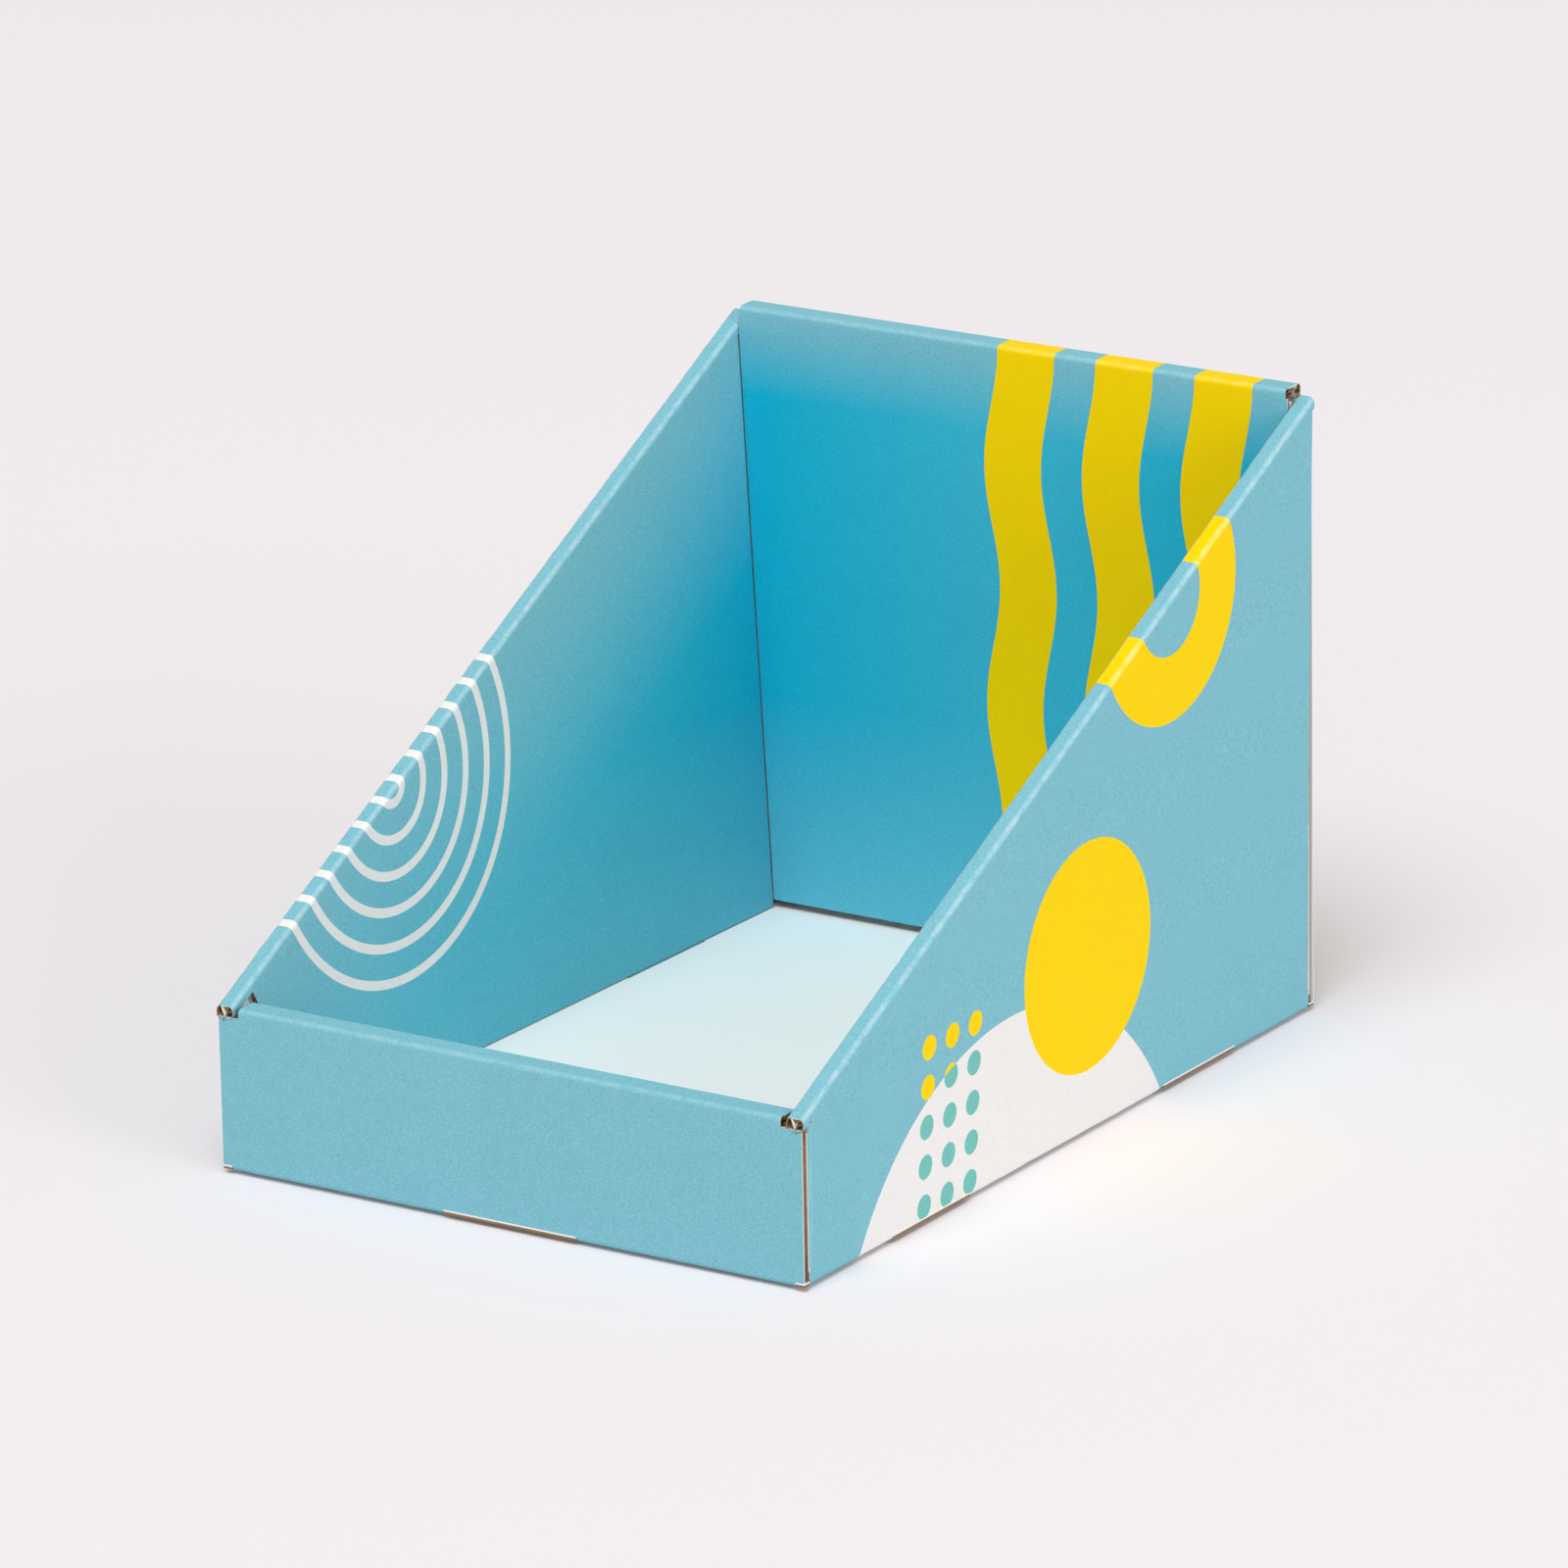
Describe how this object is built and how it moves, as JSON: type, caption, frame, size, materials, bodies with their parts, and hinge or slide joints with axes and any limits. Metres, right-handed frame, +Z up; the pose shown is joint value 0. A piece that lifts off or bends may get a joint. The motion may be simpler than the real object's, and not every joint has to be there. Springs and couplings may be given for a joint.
{
  "type": "corrugated counter display bin",
  "caption": "Counter display bin of printed corrugated card with a low front, sloping double sides and a tall back; its walls roll over at their rims and fold out flat.",
  "frame": {"origin": "middle of the underside, on the surface the bin stands on", "axes": "+X to the right seen from the front, +Y from the low front to the tall back, +Z up"},
  "size_m": [0.2258, 0.312, 0.2135],
  "materials": {
    "outer_print": "matt print on white-lined board",
    "rim_print": "matt print, paler at the creases",
    "inner_print": "matt print on white-lined board",
    "white_liner": "bare white liner"
  },
  "bodies": {
    "base": {"base_panel": "white_liner"},
    "front_wall": {"front_outer_panel": "outer_print"},
    "front_rim": {"front_rim_strip": "rim_print"},
    "front_lining": {"front_inner_panel": "inner_print", "front_lock_tab": "inner_print"},
    "back_wall": {"back_outer_panel": "outer_print"},
    "back_rim": {"back_rim_strip": "rim_print"},
    "back_lining": {"back_inner_panel": "inner_print", "back_lock_tab": "inner_print"},
    "left_wall": {"left_outer_panel": "outer_print", "left_front_flap": "white_liner", "left_rear_flap": "white_liner"},
    "left_rim": {"left_rim_strip": "rim_print"},
    "left_lining": {"left_inner_panel": "inner_print", "left_front_lock_tab": "inner_print", "left_rear_lock_tab": "inner_print"},
    "right_wall": {"right_outer_panel": "outer_print", "right_front_flap": "white_liner", "right_rear_flap": "white_liner"},
    "right_rim": {"right_rim_strip": "rim_print"},
    "right_lining": {"right_inner_panel": "inner_print", "right_front_lock_tab": "inner_print", "right_rear_lock_tab": "inner_print"}
  },
  "joints": [
    {"name": "front_fold", "type": "hinge", "parent": "base", "child": "front_wall", "pos_m": [0, -0.156, 0], "axis": [1, 0, 0], "range_deg": [0, 90]},
    {"name": "front_rim_fold", "type": "hinge", "parent": "front_wall", "child": "front_rim", "pos_m": [0, -0.156, 0.055], "axis": [1, 0, 0], "range_deg": [0, 90]},
    {"name": "front_lining_fold", "type": "hinge", "parent": "front_rim", "child": "front_lining", "pos_m": [0, -0.1464, 0.055], "axis": [1, 0, 0], "range_deg": [0, 90], "deforming": ["front_lock_tab"]},
    {"name": "back_fold", "type": "hinge", "parent": "base", "child": "back_wall", "pos_m": [0, 0.156, 0], "axis": [-1, 0, 0], "range_deg": [0, 90]},
    {"name": "back_rim_fold", "type": "hinge", "parent": "back_wall", "child": "back_rim", "pos_m": [0, 0.156, 0.2135], "axis": [-1, 0, 0], "range_deg": [0, 90]},
    {"name": "back_lining_fold", "type": "hinge", "parent": "back_rim", "child": "back_lining", "pos_m": [0, 0.1464, 0.2135], "axis": [-1, 0, 0], "range_deg": [0, 90], "deforming": ["back_lock_tab"]},
    {"name": "left_fold", "type": "hinge", "parent": "base", "child": "left_wall", "pos_m": [-0.11, 0, 0], "axis": [0, -1, 0], "range_deg": [0, 89.2]},
    {"name": "left_rim_fold", "type": "hinge", "parent": "left_wall", "child": "left_rim", "pos_m": [-0.11187, 0, 0.13367], "axis": [0.0063, -0.8937, -0.4487], "range_deg": [0, 90.01]},
    {"name": "left_lining_fold", "type": "hinge", "parent": "left_rim", "child": "left_lining", "pos_m": [-0.10557, 0, 0.13376], "axis": [0.0063, -0.8937, -0.4487], "range_deg": [0, 87.71], "deforming": ["left_front_lock_tab", "left_rear_lock_tab"]},
    {"name": "right_fold", "type": "hinge", "parent": "base", "child": "right_wall", "pos_m": [0.11, 0, 0], "axis": [0, 1, 0], "range_deg": [0, 89.2]},
    {"name": "right_rim_fold", "type": "hinge", "parent": "right_wall", "child": "right_rim", "pos_m": [0.11187, 0, 0.13367], "axis": [0.0063, 0.8937, 0.4487], "range_deg": [0, 90.01]},
    {"name": "right_lining_fold", "type": "hinge", "parent": "right_rim", "child": "right_lining", "pos_m": [0.10557, 0, 0.13376], "axis": [0.0063, 0.8937, 0.4487], "range_deg": [0, 87.71], "deforming": ["right_front_lock_tab", "right_rear_lock_tab"]}
  ],
  "couplings": [
    {"joint": "front_rim_fold", "follows": "front_fold", "ratio": 1},
    {"joint": "front_lining_fold", "follows": "front_fold", "ratio": 1},
    {"joint": "back_rim_fold", "follows": "back_fold", "ratio": 1},
    {"joint": "back_lining_fold", "follows": "back_fold", "ratio": 1},
    {"joint": "left_rim_fold", "follows": "left_fold", "ratio": 1.009},
    {"joint": "left_lining_fold", "follows": "left_fold", "ratio": 0.98318},
    {"joint": "right_rim_fold", "follows": "right_fold", "ratio": 1.009},
    {"joint": "right_lining_fold", "follows": "right_fold", "ratio": 0.98318}
  ]
}
